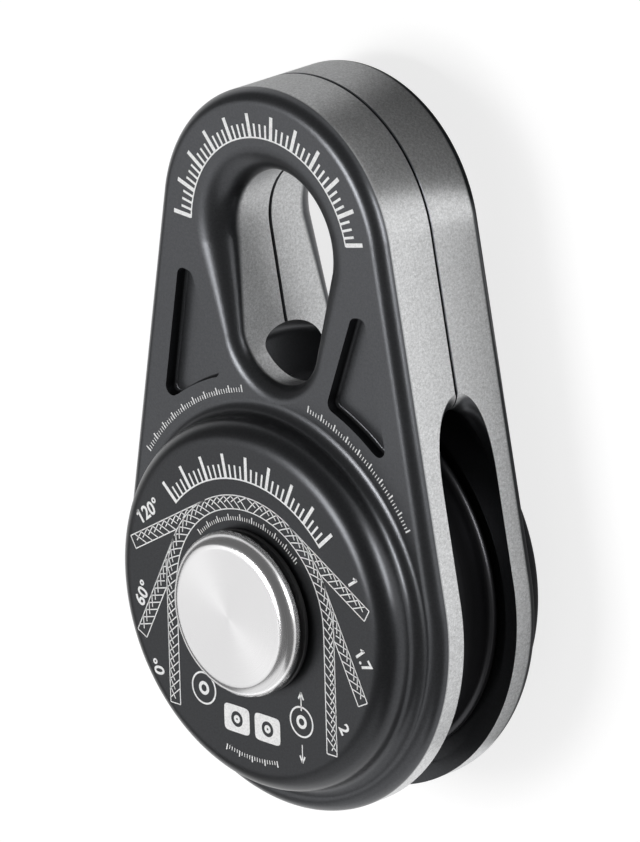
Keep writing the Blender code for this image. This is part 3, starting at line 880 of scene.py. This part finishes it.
def plaque(mesh, middle):
    """Solid square with soft corners and a round hole."""
    rims = []
    for step in range(PLAQUE_STEPS):
        angle = math.tau * step / PLAQUE_STEPS
        out = Vector((math.cos(angle), math.sin(angle)))
        across, up = [math.copysign(abs(value) ** PLAQUE_SQUARENESS, value) for value in out]
        corner = middle + Vector((PLAQUE_HALF_WIDTH * across, PLAQUE_HALF_HEIGHT * up))
        places = (corner, middle + out * PLAQUE_HOLE)
        rims.append([mesh.verts.new((*place, 0)) for place in places])
    for (outer, inner), (next_outer, next_inner) in zip(rims, rims[1:] + rims[:1]):
        mesh.faces.new((outer, next_outer, next_inner, inner))


def rope_place(side, lean, along, offset):
    """Place on a drawn rope: up to 0 it goes over the pin, then it leaves at an angle to the eye's."""
    tangent = math.radians(lean)
    if along < 0:
        angle = tangent - along / ROPE_PATH_RADIUS
        reach = ROPE_PATH_RADIUS + offset
        return Vector((side * reach * math.cos(angle), reach * math.sin(angle)))
    outward = Vector((math.cos(tangent), math.sin(tangent)))
    place = outward * (ROPE_PATH_RADIUS + offset) + Vector((outward.y, -outward.x)) * along
    return Vector((side * place.x, place.y))


def rope_line(mesh, side, lean, start, end, first, last, steps):
    """Line on a drawn rope, left out where it would run over the rope that bends round the pin."""
    line = []
    for step in range(steps + 1):
        share = step / steps
        along = start + (end - start) * share
        place = rope_place(side, lean, along, first + (last - first) * share)
        if lean == 0 or place.length > ROPE_PATH_RADIUS + ROPE_HALF_WIDTH:
            line.append(place)
    if len(line) > 1:
        stroke(mesh, line)


def draw_rope(mesh, side, lean):
    """Half of a drawn rope: two outer lines, a cut end and the strands of the braid between."""
    start = -math.pi / 2 * ROPE_PATH_RADIUS if lean == 0 else 0
    for offset in (-ROPE_HALF_WIDTH, ROPE_HALF_WIDTH):
        rope_line(mesh, side, lean, start, ROPE_LEG, offset, offset, ROPE_STEPS)
    rope_line(mesh, side, lean, ROPE_LEG, ROPE_LEG, -ROPE_HALF_WIDTH, ROPE_HALF_WIDTH, 2)
    count = int((ROPE_LEG - start) / BRAID_PITCH)
    for index in range(count):
        along = start + index * BRAID_PITCH
        lean_end = min(along + BRAID_LEAN, ROPE_LEG)
        rope_line(mesh, side, lean, along, lean_end, -ROPE_HALF_WIDTH, ROPE_HALF_WIDTH, 6)
        rope_line(mesh, side, lean, along, lean_end, ROPE_HALF_WIDTH, 0, 4)


def printed(name, height, draw):
    """Piece of ink on a face: what is drawn flat is given the ink's thickness."""
    bpy.ops.object.select_all(action="DESELECT")
    bpy.ops.mesh.primitive_plane_add(size=MM)
    ink = begin(name)
    bpy.ops.mesh.delete(type="VERT")
    mesh = bmesh.from_edit_mesh(ink.data)
    draw(mesh)
    bmesh.update_edit_mesh(ink.data)
    bpy.ops.mesh.select_all(action="SELECT")
    bpy.ops.transform.translate(value=(0, 0, height - INK_SUNK))
    raise_by(INK_SUNK + INK_LIFT)
    close_outwards()
    return ink


def numeral(words, start, end):
    """Printed number whose foot runs from one place towards another, as a mesh."""
    bpy.ops.object.select_all(action="DESELECT")
    bpy.ops.object.text_add()
    number = bpy.context.object
    number.data.body = words
    number.data.size = NUMBER_SIZE
    number.data.offset = NUMBER_BOLD
    number.data.extrude = (INK_SUNK + INK_LIFT) / 2
    number.data.resolution_u = 4
    run = Vector(end) - Vector(start)
    number.location = (*start, BOSS_FACE + (INK_LIFT - INK_SUNK) / 2)
    number.rotation_euler = (0, 0, math.atan2(run.y, run.x))
    bpy.ops.object.convert(target="MESH")
    bpy.ops.object.transform_apply()
    return bpy.context.object


def draw_arrow(mesh, way):
    """Arrow that points up (1) or down (-1) from the round mark at the right."""
    tip = ARROW_MIDDLE + Vector((0, way * ARROW_REACH))
    stroke(mesh, [tip, tip - Vector((0, way * ARROW_LENGTH))], ARROW_WIDTH)
    across, back = ARROW_BARB
    for side in (-1, 1):
        stroke(mesh, [tip, tip + Vector((side * across, -way * back))], ARROW_BARB_WIDTH)


def draw_boss(mesh):
    """Rope diagram, scales and marks on the boss."""
    for side in (-1, 1):
        for lean in ROPE_LEANS:
            draw_rope(mesh, side, lean)
    for values in BOSS_SCALES:
        scale(mesh, (0, 0), *values)
    round_line(mesh, (0, 0), *BOSS_SCALE_LINE)
    for way in (-1, 1):
        draw_arrow(mesh, way)
    for middle in PLAQUE_MIDDLES:
        plaque(mesh, Vector(middle) * MM)
    for middle, radius, width in ROUND_MARKS:
        round_line(mesh, Vector(middle) * MM, radius, width)


def draw_flags(mesh):
    """Short slanting stroke at the head of each number's leading one."""
    for words, start, end in NUMBERS.values():
        if words.startswith("1"):
            along = (Vector(end) - Vector(start)).normalized() * MM
            up = Vector((-along.y, along.x))
            head = Vector(start) * MM + ONE_FLAG_FOOT[0] * along + ONE_FLAG_FOOT[1] * up
            tail = head - ONE_FLAG_SIZE[0] * along - ONE_FLAG_SIZE[1] * up
            stroke(mesh, [head, tail], ONE_FLAG_WIDTH)


def draw_plate(mesh):
    """Scales on the plate, round the eye and round the boss."""
    eye = (0, EYE_DISTANCE)
    scale(mesh, eye, *EYE_SCALE)
    round_line(mesh, eye, *EYE_SCALE_LINE)
    for values in PLATE_SCALES:
        scale(mesh, (0, 0), *values)


def ink_material():
    """Fired white ink, slightly uneven where it lies thin."""
    material, tree, shader = new_material("white_ink")
    tone = remap(tree, noise(tree, 2200.0, 2.0), (0.74, 0.9), (0.3, 0.6))
    tree.links.new(tone, shader.inputs["Base Color"])
    shader.inputs["Roughness"].default_value = 0.5
    return material


WHITE_INK = ink_material()

# Numbers: words, then the start and the end of the line that they stand on, in mm
NUMBERS = {
    "angle_120": ("120\u00b0", (-39.1, 14.1), (-32.6, 19.1)),
    "angle_60": ("60\u00b0", (-39.4, -8.7), (-36.2, -1.9)),
    "angle_0": ("0\u00b0", (-32.3, -25.8), (-32.6, -21.5)),
    "share_1": ("1", (35.4, 16.3), (37.9, 12.6)),
    "share_1_7": ("1.7", (37.4, -2.4), (42.1, -8.6)),
    "share_2": ("2", (31.0, -24.0), (34.0, -28.9)),
}
prints = [
    printed(name, height, draw) for name, height, draw in (
        ("boss_print", BOSS_FACE, draw_boss),
        ("one_flags", BOSS_FACE, draw_flags),
        ("plate_print", PLATE_HEIGHT, draw_plate),
    )
]
for name, (words, start, end) in NUMBERS.items():
    number = numeral(words, [value * MM for value in start], [value * MM for value in end])
    number.name = name
    number.data.name = name
    prints.append(number)
for ink in prints:
    settle(ink)
    ink.data.materials.clear()
    ink.data.materials.append(WHITE_INK)
    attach(ink, "front_half")

# Floor
# A wide sheet of white paper that the block lies on. The camera, and metal that mirrors it, see it
# near white with the block's shadow faintly on it.
FLOOR_SIZE = 40.0
FLOOR_COLOUR = 0.8
FLOOR_LIFT = 0.77
FLOOR_SHADOW = 0.3
bpy.ops.object.select_all(action="DESELECT")
bpy.ops.mesh.primitive_plane_add(size=FLOOR_SIZE)
floor = bpy.context.object
floor.name = "floor"
FLOOR_PAPER, tree, shader = new_material("floor_paper")
link = tree.links.new
shader.inputs["Base Color"].default_value = (FLOOR_COLOUR, FLOOR_COLOUR, FLOOR_COLOUR, 1)
shader.inputs["Roughness"].default_value = 0.9
shadowed = add_node(tree, "BsdfDiffuse", Color=(FLOOR_SHADOW, FLOOR_SHADOW, FLOOR_SHADOW, 1))
lift = add_node(tree, "Emission", Color=(1, 1, 1, 1), Strength=FLOOR_LIFT)
lifted = add_node(tree, "AddShader")
link(shadowed.outputs["BSDF"], lifted.inputs[0])
link(lift.outputs["Emission"], lifted.inputs[1])
path = add_node(tree, "LightPath")
straight = reckon(
    tree, "MAXIMUM", path.outputs["Is Camera Ray"], path.outputs["Is Glossy Ray"]
)
seen = add_node(tree, "MixShader")
link(
    reckon(tree, "MAXIMUM", straight, path.outputs["Is Transmission Ray"]), seen.inputs["Fac"]
)
link(shader.outputs["BSDF"], seen.inputs[1])
link(lifted.outputs["Shader"], seen.inputs[2])
link(seen.outputs["Shader"], tree.nodes["Material Output"].inputs["Surface"])
floor.data.materials.append(FLOOR_PAPER)

# Lights
# A bright soft light overhead, large dim ones at the left shoulder and low in front, a low strip
# at the right, grey flags on the floor that only reflections see, which paint shade and dark
# reflections into the metal, and a room with a pale horizon.
AIM = Vector((0, 0, MIDDLE.z))


def soft_light(name, direction, distance, size, radiance):
    """Area light that faces the block from a direction, given by its size and its radiance."""
    light = bpy.data.lights.new(name, "AREA")
    light.shape = "RECTANGLE"
    light.size, light.size_y = size
    light.energy = radiance * math.pi * size[0] * size[1]
    lamp = bpy.data.objects.new(name, light)
    bpy.context.scene.collection.objects.link(lamp)
    away = Vector(direction).normalized()
    lamp.location = AIM + away * distance
    lamp.rotation_euler = away.to_track_quat("Z", "Y").to_euler()
    lamp.visible_camera = False
    return lamp


soft_light("overhead", (-0.28, 0.03, 0.96), 1.2, (0.4, 0.36), 18.5)
soft_light("left_shoulder", (-0.67, -0.24, 0.66), 1.3, (0.9, 0.9), 0.85)
soft_light("low_front", (-0.12, -0.93, 0.38), 1.1, (1.2, 0.95), 0.8)
soft_light("right_strip", (0.9, 0.35, 0.08), 0.5, (0.28, 0.08), 17.0)

FLAG_HEIGHT = 0.0008
FLAG_DARK, FLAG_GREY, FLAG_PALE = 0.01, 0.5, 0.68


def shade_flag(name, corners, left, right):
    """Grey sheet on the floor for reflections alone, painted shade that the metal mirrors, its grey
    changing between two places in X.
    """
    flag = flat_outline(name, corners, FLAG_HEIGHT)
    close()
    flag.visible_camera = False
    flag.visible_shadow = False
    flag.visible_diffuse = False
    material, tree, shader = new_material(name + "_painted_shade")
    place = add_node(tree, "TexCoord")
    across = add_node(tree, "SeparateXYZ")
    tree.links.new(place.outputs["Object"], across.inputs["Vector"])
    (left_x, left_grey), (right_x, right_grey) = left, right
    greys, places = (left_grey, right_grey), (left_x, right_x)
    grey = remap(tree, across.outputs["X"], greys, places, "SMOOTHSTEP")
    tree.links.new(grey, shader.inputs["Base Color"])
    shader.inputs["Roughness"].default_value = 1.0
    flag.data.materials.append(material)


# Painted reflection: a dark sheet beyond the eye, for the dark room mirrored in the eye end's walls.
shade_flag(
    "eye_flag", ((0.044, 0.065), (0.1, 0.121), (-0.02, 0.2), (-0.1, 0.07)),
    (-0.02, FLAG_GREY), (0.016, FLAG_DARK),
)
# Painted shade: a pale grey sheet under the eye, for the shaded floor under the block mirrored in the
# eye's inner walls.
shade_flag(
    "under_flag", ((0.014, 0.015), (0.042, 0.015), (0.042, 0.066), (0.014, 0.066)),
    (0.014, FLAG_PALE), (0.03, FLAG_PALE),
)
# Painted shade: a pale grey sheet beside the block, for the shaded floor mirrored in the side walls.
shade_flag(
    "side_flag",
    ((0.048, 0.062), (0.035, -0.105), (0.062, -0.128), (0.093, -0.06), (0.075, 0.062)),
    (0.05, FLAG_PALE), (0.09, FLAG_PALE),
)

ROOM_GREY = 0.16
HORIZON = 0.1
world = bpy.data.worlds.new("dark_room")
bpy.context.scene.world = world
world.use_nodes = True
tree = world.node_tree
link = tree.links.new
towards = add_node(tree, "TexCoord")
height = add_node(tree, "SeparateXYZ")
link(towards.outputs["Generated"], height.inputs["Vector"])
grey = remap(tree, height.outputs["Z"], (1, ROOM_GREY), (0, HORIZON), "SMOOTHSTEP")
link(grey, tree.nodes["Background"].inputs["Color"])

# Camera
# A long lens on the photograph's side of the block, fitted to the photograph and turned so that
# the eye points up in the picture.
CAMERA_PLACE = Vector((1.6532, 0.8015, 1.6511))
CAMERA_RIGHT = Vector((0.70613, -0.02649, -0.70759))
CAMERA_UP = Vector((-0.21277, 0.94518, -0.24772))
FOCAL_LENGTH = 411.6
camera_data = bpy.data.cameras.new("camera")
camera_data.lens = FOCAL_LENGTH
camera_data.sensor_width = 36.0
camera_data.clip_end = 50.0
camera = bpy.data.objects.new("camera", camera_data)
bpy.context.scene.collection.objects.link(camera)
back = CAMERA_RIGHT.cross(CAMERA_UP)
turned = Matrix((CAMERA_RIGHT, CAMERA_UP, back)).transposed()
camera.matrix_world = Matrix.Translation(CAMERA_PLACE) @ turned.to_4x4()
bpy.context.scene.camera = camera

bpy.context.scene.view_settings.view_transform = "Standard"
